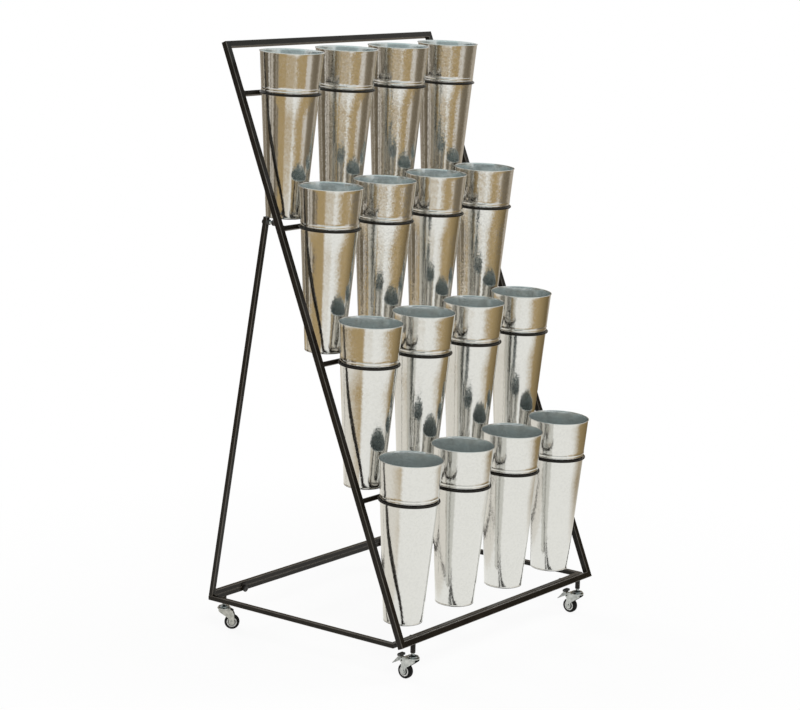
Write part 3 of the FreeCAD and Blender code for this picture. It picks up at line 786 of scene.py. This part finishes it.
# Casters are drawn with the axle along x, the trail along y and the floor at zero
caster = {"names": ("front_left", "front_right", "rear_left", "rear_right"), "trail": 20.5, "wheel": 19.0, "core": 13.0,
          "tread": 14.4, "plateIn": 8.6, "plateOut": 10.4, "crown": 54.3, "under": 52.5, "nose": 13.0, "tail": 31.0,
          "bossRadius": 7.5, "raceRadius": 16.8, "raceTop": 56.7}
stem = {"frontTop": 90.0, "rearTop": 86.5, "socketRadius": 6.3, "socketBottom": 68.0, "stemRadius": 4.0,
        "raceRadius": 14.5, "raceTop": 61.5, "raceBottom": 57.0, "pin": 2.9,
        "rivetRadius": 5.5, "rivetTop": 52.2, "rivetBottom": 50.4}
brake = {"pivot": (26.0, 46.0), "barrel": 4.0, "bore": 2.1, "width": 12.0, "plate": 2.2, "tip": (59.0, 31.0), "tipWidth": 7.0,
         "neck": 34.5, "padLow": 54.0, "padSize": (19.0, 10.0, 6.5), "lobe": (3.5, 7.8), "ribs": 5}


def casterPlace(name):
    axle = Vector(joints["roll_" + name]["axis"]).normalized()
    foot = Vector(joints["swivel_" + name]["pos_m"])
    trail = zAxis.cross(axle)
    turn = Matrix((axle, trail, zAxis)).transposed().to_4x4()
    return Matrix.Translation((foot.x, foot.y, 0)) @ turn @ Matrix.Scale(mm, 4)


def latheAcross(bm, profile, segments, material=0):
    # Turned about the axle: the profile's height runs along x
    place = Matrix.Translation((0, caster["trail"], caster["wheel"])) @ Matrix.Rotation(math.pi / 2, 4, "Y")
    lathe(bm, profile, segments, closed=profile[0][0] > 0, material=material, place=place)


def forkOutline(braked):
    size = caster
    tail = size["tail"] if braked else size["tail"] - 7
    top = size["crown"] - 3
    drop = size["crown"] - 10.5
    waist, boss = size["trail"] + size["bossRadius"] - 1.4, size["bossRadius"]
    points = [(-size["nose"], top), (tail - 5.5, top), (tail, size["crown"] - 6.5), (tail, drop), (waist, drop - 4.5)]
    rounded = roundOutline(points + [(waist, size["wheel"])], [0, 3.0, 3.0, 2.0, 5.0, 0])[:-1]
    for step in range(17):
        angle = math.pi * (step / 16) - 0.35 * (1 - step / 16) + 0.45 * step / 16
        rounded.append((size["trail"] + boss * math.cos(angle), size["wheel"] - boss * math.sin(angle)))
    front = [(size["trail"] - boss + 0.6, size["wheel"] + 9.5), (-size["nose"] + 3.5, drop + 1.0), (-size["nose"], drop + 4.5)]
    rounded += roundOutline([rounded[-1]] + front + [rounded[0]], [0, 6.0, 3.0, 1.5, 0])[1:-1]
    return rounded, tail


def channelOutline():
    # Pressed top of the fork: a flat web with rounded bends into the side plates
    out, inner, top, low = caster["plateOut"], caster["plateIn"], caster["crown"], caster["under"]
    lip = low - 1.6
    points = [(-out, lip), (-out, top), (out, top), (out, lip), (inner, lip), (inner, low), (-inner, low), (-inner, lip)]
    return roundOutline(points, [0, 2.4, 2.4, 0, 0, 0.7, 0.7, 0], 6)


def makeFork(name, braked, place):
    bm = bmesh.new()
    outline, tail = forkOutline(braked)
    for low, high in ((-caster["plateOut"], -caster["plateIn"]), (caster["plateIn"], caster["plateOut"])):
        extrudeOutline(bm, outline, low, high)
    for vert in extrudeOutline(bm, channelOutline(), -caster["nose"], tail - 7):
        vert.co = (vert.co.y, vert.co.x, vert.co.z)
    race, top = caster["raceRadius"], caster["raceTop"]
    lathe(bm, ((3.2, top - 0.5), (11.0, top - 0.5), (11.8, top), (race - 1.6, top), (race - 0.6, top - 0.4), (race, top - 1.5),
               (race - 0.1, top - 2.7), (race - 0.9, top - 3.8), (race - 2.6, top - 4.2), (3.2, top - 4.2)), 48, closed=True)
    makePiece("fork_" + name + "_plate", bm, place, [brightZinc], 32, "caster_" + name, "zinc_plate", "fork_" + name)


def forkSpots(place, y, z, spin):
    # One on the outer face of each side plate
    turn = place.to_3x3().normalized()
    return [(place @ Vector((sign * caster["plateOut"], y, z)), turn @ (xAxis * sign), spin) for sign in (-1, 1)]


def makeAxleNuts(name, braked, place):
    nut = hexHead(4.5, 1.5, "axleNutSource")
    spots = forkSpots(place, caster["trail"], caster["wheel"], 0.4)
    scatter("axleNuts_" + name, nut, spots, brightZinc, "caster_" + name, "zinc_plate")
    if not braked:
        return
    bm = bmesh.new()
    lathe(bm, ((0, -0.4), (2.1, -0.4), (2.1, 0.25), (1.5, 0.6), (0, 0.75)), 16)
    rivet = makeObject("rivetSource", bm, Matrix.Scale(mm, 4), [blackenedSteel], 40)
    spots = forkSpots(place, *brake["pivot"], 0)
    scatter("brakeRivets_" + name, rivet, spots, blackenedSteel, "caster_" + name, "black_fasteners")


def makeAxle(name, place):
    bm = bmesh.new()
    half = caster["plateIn"]
    latheAcross(bm, mirrored([(0, -half), (2.9, -half)]), 20)
    makePiece("axle_" + name, bm, place, [brightZinc], 32, "caster_" + name, "zinc_plate")


def makeWheel(name, place):
    half, core, out = caster["tread"] / 2, caster["core"], caster["wheel"]
    bm = bmesh.new()
    felloe = [(9.3, 1.5 - half), (9.5, 0.3 - half), (10.0, -half), (core - 0.6, -half), (core - 0.1, 0.3 - half)]
    latheAcross(bm, mirrored(felloe), 64)
    hub = [(3.05, -half), (5.6, -half), (6.0, 0.4 - half), (6.2, 1.6 - half), (9.4, 1.6 - half)]
    latheAcross(bm, mirrored(hub), 48, 1)
    makePiece("wheel_" + name + "_core", bm, place, [wheelCore, pedalPlastic], 32,
              "roller_" + name, "wheel_core", "wheel_" + name)
    bm = bmesh.new()
    side = [(core, half), (core + 1.2, half), (core + 3.2, half - 0.3), (out - 1.6, half - 0.9),
            (out - 0.7, half - 1.7), (out - 0.2, half - 3.0), (out, half - 4.6)]
    latheAcross(bm, mirrored(side), 72)
    makePiece("tyre_" + name + "_tread", bm, place, [tyreRubber], 32, "roller_" + name, "tyre_rubber", "tyre_" + name)


def makeBrake(name, place):
    bm = bmesh.new()
    y, z = brake["pivot"]
    half = brake["width"] / 2
    thick = brake["plate"]
    tipY, tipZ = brake["tip"]
    neck = brake["neck"]
    path = [(y, z + thick), (neck, z + thick), (tipY, tipZ + thick / 2), (tipY, tipZ - thick / 2),
            (neck - thick, z - thick), (y, z - thick)]
    outline = roundOutline(path, [0, 5.0, 0.6, 0.6, 4.0, 0], 5)
    narrow = (brake["tipWidth"] / 2) / half

    def taper(along):
        # The lever narrows toward its tip
        return 1 - (1 - narrow) * max(0, (along - neck) / (tipY - neck)) ** 1.4

    for vert in extrudeOutline(bm, outline, -half, half):
        vert.co.x *= taper(vert.co.y)
    low = brake["padLow"]
    extrudeOutline(bm, [(y + 1.8, z), (neck + thick, z), (neck + thick, low), (neck - thick, low)], -half, half)
    web = [(neck - 3.0, low), (neck + 3.5, low), (tipY - 1.5, tipZ + 1.4), (tipY - 2.5, tipZ), (neck - 3.0, z)]
    for sign in (-1, 1):
        for vert in extrudeOutline(bm, roundOutline(web, [0, 3.0, 0.8, 0.8, 0]), -0.6, 0.6):
            vert.co.x += sign * (half - 0.7) * taper(vert.co.y)
    across, length = brake["lobe"]
    lobe = [(-across / 2, 0), (-across / 2, -length), (across / 2, -length), (across / 2, 0)]
    lobeTurn = math.atan2(caster["trail"] - y, z - caster["wheel"]) + math.radians(18)
    pivot = Matrix.Translation((0, y, z))
    extrudeOutline(bm, roundOutline(lobe, [0, 1.2, 1.2, 0]), -half, half, pivot @ Matrix.Rotation(lobeTurn, 4, "X"))
    roundEdges(bm, 0.35)
    barrel, bore = brake["barrel"], brake["bore"]
    profile = mirrored([(bore, -half), (barrel - 0.4, -half), (barrel, 0.4 - half)])
    lathe(bm, profile, 32, closed=True, place=pivot @ Matrix.Rotation(math.pi / 2, 4, "Y"))
    makePiece("brake_lever_" + name + "_plate", bm, place, [darkZinc], 32, "brake_" + name, "zinc_plate", "brake_lever_" + name)
    wide, deep, tall = brake["padSize"]
    bm = bmesh.new()
    near, far, top = neck - deep / 2, neck + deep / 2, low + tall - 1
    outline = [(near, low), (far, low), (far, top), (near, top)]
    extrudeOutline(bm, roundOutline(outline, [1.2, 1.2, 1.6, 1.6], 4), -wide / 2, wide / 2)
    makePiece("brake_pad_" + name + "_block", bm, place, [pedalPlastic], 40,
              "brake_" + name, "black_plastic", "brake_pad_" + name)
    bm = bmesh.new()
    rib = roundOutline([(-0.6, -0.4), (0.6, -0.4), (0.45, 0.95), (-0.45, 0.95)], [0, 0, 0.3, 0.3], 3)
    extrudeOutline(bm, rib, -wide / 2 + 1.2, wide / 2 - 1.2)
    turn = place.to_3x3().normalized().to_4x4()
    source = makeObject("padRibSource", bm, turn @ Matrix.Scale(mm, 4), [pedalPlastic], 40)
    spots = []
    for step in range(brake["ribs"]):
        along = neck + (step - (brake["ribs"] - 1) / 2) * (deep - 3) / (brake["ribs"] - 1)
        spots.append((place @ Vector((0, along, top)), zAxis, 0))
    scatter("padRibs_" + name, source, spots, pedalPlastic, "brake_" + name, "black_plastic")


def makeStems():
    sockets, stems = bmesh.new(), bmesh.new()
    size = stem
    for name in caster["names"]:
        foot = Vector(joints["swivel_" + name]["pos_m"])
        place = Matrix.Translation((foot.x, foot.y, 0)) @ Matrix.Scale(mm, 4)
        top = size["frontTop"] if "front" in name else size["rearTop"]
        low, wide = size["socketBottom"], size["socketRadius"]
        lathe(sockets, ((0, low + 2), (wide - 1.4, low + 2), (wide - 1.3, low + 0.3), (wide - 1.0, low),
                        (wide - 0.4, low), (wide, low + 0.5), (wide, top), (0, top)), 32, place=place)
        race, raceTop, raceLow = size["raceRadius"], size["raceTop"], size["raceBottom"]
        neck, pin = size["stemRadius"], size["pin"]
        rivet, rivetTop, rivetLow = size["rivetRadius"], size["rivetTop"], size["rivetBottom"]
        lathe(stems, ((0, low + 1.5), (neck, low + 1.5), (neck, raceTop + 4.0), (neck + 0.5, raceTop + 2.6),
                      (neck + 2.0, raceTop + 1.2), (neck + 4.5, raceTop + 0.1), (race - 3.0, raceTop - 0.7),
                      (race - 1.2, raceTop - 1.4), (race - 0.3, raceTop - 2.3), (race, raceTop - 3.3),
                      (race - 0.3, raceLow + 0.3), (race - 1.0, raceLow), (pin, raceLow), (pin, rivetTop), (rivet, rivetTop),
                      (rivet - 0.2, rivetTop - 0.9), (rivet - 1.6, rivetLow), (0, rivetLow)), 40, place=place)
    makePiece("stemSockets", sockets, Matrix.Identity(4), [frameCoat], 32, "stand", "frame_coat", "stem_sockets")
    makePiece("casterStems", stems, Matrix.Identity(4), [darkZinc], 32, "stand", "zinc_plate", "caster_stems")


makeStems()
for name in caster["names"]:
    braked = name.startswith("front")
    place = casterPlace(name)
    makeFork(name, braked, place)
    makeAxleNuts(name, braked, place)
    makeAxle(name, place)
    makeWheel(name, place)
    if braked:
        makeBrake(name, place)
frame["nodes"]["splice_sleeves"].data.materials.clear()
frame["nodes"]["splice_sleeves"].data.materials.append(brightZinc)
print("casters made")


studio = {"floor": 9.0, "paper": (0.84, 0.84, 0.83), "shadowShare": 0.10, "shadowFade": (0.7, 1.6),
          "ambient": 0.55, "aim": (0, 0, 0.7)}


def shownToMirrors(tree):
    # One for rays from the camera and for mirrored or refracted rays
    path = tree.nodes.new("ShaderNodeLightPath").outputs
    first = combine(tree, path["Is Camera Ray"], path["Is Glossy Ray"], "MAXIMUM")
    return combine(tree, first, path["Is Transmission Ray"], "MAXIMUM")


def makeFloor():
    bm = bmesh.new()
    bmesh.ops.create_grid(bm, x_segments=1, y_segments=1, size=studio["floor"])
    material, tree, coords = startBare("whitePaper")
    away = vectorMath(tree, "LENGTH", {0: coords})
    plain = spread(tree, away, 1 - studio["shadowShare"], 1.0, *studio["shadowFade"])
    share = combine(tree, plain, shownToMirrors(tree), "MULTIPLY")
    matt = addNode(tree, "ShaderNodeBsdfDiffuse", {"Color": (*studio["paper"], 1)}).outputs[0]
    white = addNode(tree, "ShaderNodeEmission", {"Color": (1, 1, 1, 1), "Strength": 1.0}).outputs[0]
    mixed = addNode(tree, "ShaderNodeMixShader", {0: share, 1: matt, 2: white}).outputs[0]
    tree.links.new(mixed, tree.nodes["Material Output"].inputs["Surface"])
    floor = makeObject("floorPaper", bm, Matrix.Identity(4), [material], 0)


def makeWorld():
    world = bpy.data.worlds.new("studioWhite")
    bpy.context.scene.world = world
    world.use_nodes = True
    tree = world.node_tree
    level = addNode(tree, "ShaderNodeMapRange", {"Value": shownToMirrors(tree), "To Min": studio["ambient"], "To Max": 1.0})
    ground = tree.nodes["Background"]
    ground.inputs["Color"].default_value = (1, 1, 1, 1)
    tree.links.new(level.outputs["Result"], ground.inputs["Strength"])


camera = {"place": (-4.57155, -3.47051, 1.81108), "azimuth": -0.91664, "pitch": 0.19154, "roll": 0.02295, "lens": 104.41}


def cameraAxes():
    azimuth, pitch, roll = camera["azimuth"], camera["pitch"], camera["roll"]
    right = Vector((math.cos(azimuth), math.sin(azimuth), 0))
    ahead = Vector((-math.sin(azimuth) * math.cos(pitch), math.cos(azimuth) * math.cos(pitch), -math.sin(pitch)))
    up = right.cross(ahead)
    return right * math.cos(roll) + up * math.sin(roll), up * math.cos(roll) - right * math.sin(roll), ahead


def makeCamera():
    right, up, ahead = cameraAxes()
    data = bpy.data.cameras.new("photoCamera")
    data.sensor_fit = "HORIZONTAL"
    data.sensor_width = 36.0
    data.lens = camera["lens"]
    data.clip_end = 60.0
    seat = linkObject("photoCamera", data)
    seat.matrix_world = Matrix.Translation(camera["place"]) @ Matrix((right, up, -ahead)).transposed().to_4x4()
    bpy.context.scene.camera = seat


# The room is seen by mirrored rays alone: white paper on a tan floor, and striped walls beside and behind the stand
room = {"tan": (0.47, 0.345, 0.17), "paper": (1.0, 1.0, 0.97), "reach": 8.0, "lift": 0.004, "paperLeft": (-0.25, -0.3, 0.14),
        "paperRight": (1.75, 0.85, 0.4), "paperTurn": 0.3, "paperFront": (1.9, 4.9), "paperRest": 0.08,
        "gleam": (0.28, 0.55, 0.36), "gleamRest": 0.4, "gleamFade": (4.4, 5.6), "pool": (-0.6, -0.9, 1.9, 0.45),
        "poolShare": 0.75, "dusk": (-1.8, 0.8), "duskSide": (-0.5, 0.5), "duskShare": 0.42, "warmth": (0.22, 0.52),
        "cool": (0.12, 0.14, 0.14), "high": (0.82, 0.95, 0.95), "frontWall": (1.5, 6.0), "frontRise": (1.7, 4.2),
        "dim": (0.70, 0.81, 0.82), "ceiling": 3.2, "ceilingHalf": 3.0}
leftWall = {"name": "roomLeft", "along": 0, "away": -3.2, "span": (-2.8, 3.0), "low": 0.0, "top": 1.9,
            "stripes": ((-2.6, 0.25), (-1.9, 0.22), (-1.8, 0.6), (-1.6, 0.6), (-1.5, 0.25), (-0.7, 0.15), (0.05, 0.14),
                        (0.18, 0.75), (0.42, 0.75), (0.52, 0.20), (0.68, 0.22), (0.80, 0.62), (1.2, 0.60), (1.36, 0.17),
                        (2.05, 0.16), (2.15, 0.55), (2.25, 0.50), (2.33, 0.18), (2.8, 0.22), (2.95, 0.45))}
rightWall = {"name": "roomRight", "along": 0, "away": 3.4, "span": (-2.8, 2.2), "low": 0.06, "top": 1.9,
             "stripes": ((-2.7, 0.45), (-2.1, 0.24), (-1.3, 0.19), (-0.1, 0.22), (0.4, 0.30), (0.62, 0.52), (0.9, 0.75),
                         (2.1, 0.70))}
rearWall = {"name": "roomRear", "along": 90, "away": 2.8, "span": (-3.2, 3.4), "low": 0.0, "top": 1.9,
            "stripes": ((-3.1, 0.30), (-2.3, 0.22), (-2.2, 0.65), (-2.0, 0.65), (-1.9, 0.20), (-1.2, 0.24), (-1.1, 0.70),
                        (-0.9, 0.70), (-0.8, 0.26), (0.0, 0.40), (0.8, 0.50), (3.3, 0.45))}


def towardCamera(angle):
    # Unit direction on the floor, turned from the camera's side; positive is to the photo's right
    right, _, ahead = cameraAxes()
    out = Vector((-ahead.x, -ahead.y, 0)).normalized()
    side = Vector((right.x, right.y, 0)).normalized()
    return out * math.cos(math.radians(angle)) + side * math.sin(math.radians(angle))


def startGlow(name):
    # Material that only glows, with the distance ahead of the stand and beside it
    material, tree, coords = startBare(name)
    ahead, beside = (vectorMath(tree, "DOT_PRODUCT", {0: coords, 1: towardCamera(angle)}) for angle in (0, 90))
    return material, tree, coords, ahead, beside


def endGlow(tree, colour):
    glow = addNode(tree, "ShaderNodeEmission", {"Color": colour, "Strength": 1.0}).outputs[0]
    tree.links.new(glow, tree.nodes["Material Output"].inputs["Surface"])


def mixColour(tree, share, first, second):
    return addNode(tree, "ShaderNodeMix", {"Factor": share, 6: first, 7: second}, data_type="RGBA").outputs[2]


def makeFlag(name, corners, material):
    bm = bmesh.new()
    bm.faces.new([bm.verts.new(point) for point in corners])
    flag = makeObject(name, bm, Matrix.Identity(4), [material], 0)
    flag.visible_camera = flag.visible_diffuse = flag.visible_shadow = flag.visible_transmission = False


def makeRoomFloor():
    material, tree, coords, ahead, beside = startGlow("roomFloor")

    def offLine(along, slant):
        # Distance beside a line that slants across the floor
        return combine(tree, beside, combine(tree, along, -slant, "MULTIPLY"), "ADD")

    edge, slant, soft = room["paperLeft"]
    leftSide = spread(tree, offLine(ahead, slant), 0.0, 1.0, edge - soft, edge + soft)
    edge, slant, soft = room["paperRight"]
    pulled = combine(tree, combine(tree, ahead, -room["paperTurn"], "ADD"), 0.0, "MINIMUM")
    rightSide = spread(tree, offLine(pulled, slant), 1.0, 0.0, edge - soft, edge + soft)
    front = spread(tree, ahead, 1.0, room["paperRest"], *room["paperFront"])
    strip = combine(tree, combine(tree, leftSide, rightSide, "MULTIPLY"), front, "MULTIPLY")
    x, y, radius, soft = room["pool"]
    centre = towardCamera(0) * x + towardCamera(90) * y
    away = vectorMath(tree, "LENGTH", {0: vectorMath(tree, "SUBTRACT", {0: coords, 1: centre})})
    pool = spread(tree, away, room["poolShare"], 0.0, radius - soft, radius + soft)
    slant, half, share = room["gleam"]
    aside = addNode(tree, "ShaderNodeMath", {0: offLine(ahead, slant)}, operation="ABSOLUTE").outputs[0]
    fade = spread(tree, ahead, 1.0, room["gleamRest"], *room["gleamFade"])
    gleam = combine(tree, spread(tree, aside, share, 0.0, half * 0.4, half), fade, "MULTIPLY")
    paper = combine(tree, combine(tree, strip, gleam, "ADD"), pool, "MAXIMUM")
    paper = combine(tree, paper, 1.0, "MINIMUM")
    behind = spread(tree, ahead, room["duskShare"], 1.0, *room["dusk"])
    dusk = combine(tree, behind, spread(tree, beside, 1.0, 0.0, *room["duskSide"]), "MAXIMUM")
    tan = vectorMath(tree, "SCALE", {0: room["tan"], "Scale": dusk})
    endGlow(tree, mixColour(tree, paper, tan, (*room["paper"], 1)))
    far, lift = room["reach"] * math.sqrt(2), zAxis * room["lift"]
    makeFlag("roomFloor", [towardCamera(angle) * far + lift for angle in (45, 135, 225, 315)], material)


def makeRoomWall(wall):
    # Upright stripes, given as (distance along the wall, brightness); the dim ones are browner
    material, tree, _, ahead, beside = startGlow(wall["name"])
    start, end = wall["span"]
    ramp = tree.nodes.new("ShaderNodeValToRGB")
    stops = ramp.color_ramp.elements
    for index, (place, level) in enumerate(wall["stripes"]):
        stop = stops[index] if index < 2 else stops.new(1.0)
        stop.position = (place - start) / (end - start)
        green, blue = (level * (1 - loss * (1 - level)) for loss in room["warmth"])
        stop.color = (level, green, blue, 1)
    tree.links.new(spread(tree, beside if wall["along"] else ahead, 0.0, 1.0, start, end), ramp.inputs["Fac"])
    endGlow(tree, ramp.outputs["Color"])
    run, out = towardCamera(wall["along"]), towardCamera(wall["along"] + 90) * wall["away"]
    low, top = zAxis * wall["low"], zAxis * wall["top"]
    near, far = out + run * start, out + run * end
    makeFlag(wall["name"], [near + low, far + low, far + top, near + top], material)


def makeUpperRoom():
    # Cool light that reaches the buckets' insides: a far wall behind the camera, brighter higher up, and a ceiling
    material, tree, coords = startGlow("roomFront")[:3]
    height = addNode(tree, "ShaderNodeSeparateXYZ", {"Vector": coords}).outputs["Z"]
    share = spread(tree, height, 0.0, 1.0, *room["frontRise"])
    endGlow(tree, mixColour(tree, share, (*room["cool"], 1), (*room["high"], 1)))
    far, side = towardCamera(0) * room["reach"], towardCamera(90) * room["reach"]
    low, high = (zAxis * level for level in room["frontWall"])
    makeFlag("roomFront", [far - side + low, far + side + low, far + side + high, far - side + high], material)
    material, tree = startGlow("roomCeiling")[:2]
    endGlow(tree, (*room["dim"], 1))
    half, high = room["ceilingHalf"], zAxis * room["ceiling"]
    makeFlag("roomCeiling", [Vector((a, b, 0)) * half + high for a, b in ((-1, -1), (1, -1), (1, 1), (-1, 1))], material)


lamps = ({"name": "keyLamp", "place": (-3.2, -3.4, 4.2), "size": 2.6, "power": 150.0},
         {"name": "fillLamp", "place": (3.4, -2.6, 3.0), "size": 2.2, "power": 60.0},
         {"name": "rearLamp", "place": (0.5, 3.6, 3.4), "size": 2.4, "power": 60.0})


def makeLamps():
    for lamp in lamps:
        data = bpy.data.lights.new(lamp["name"], "AREA")
        data.shape = "DISK"
        data.size = lamp["size"]
        data.energy = lamp["power"]
        seat = linkObject(lamp["name"], data)
        place = Vector(lamp["place"])
        turn = (Vector(studio["aim"]) - place).to_track_quat("-Z", "Y").to_matrix().to_4x4()
        seat.matrix_world = Matrix.Translation(place) @ turn
        seat.visible_glossy = False


makeFloor()
makeWorld()
makeRoomFloor()
makeRoomWall(leftWall)
makeRoomWall(rightWall)
makeRoomWall(rearWall)
makeUpperRoom()
makeLamps()
makeCamera()
bpy.context.scene.view_settings.view_transform = "Standard"
print("stage made")
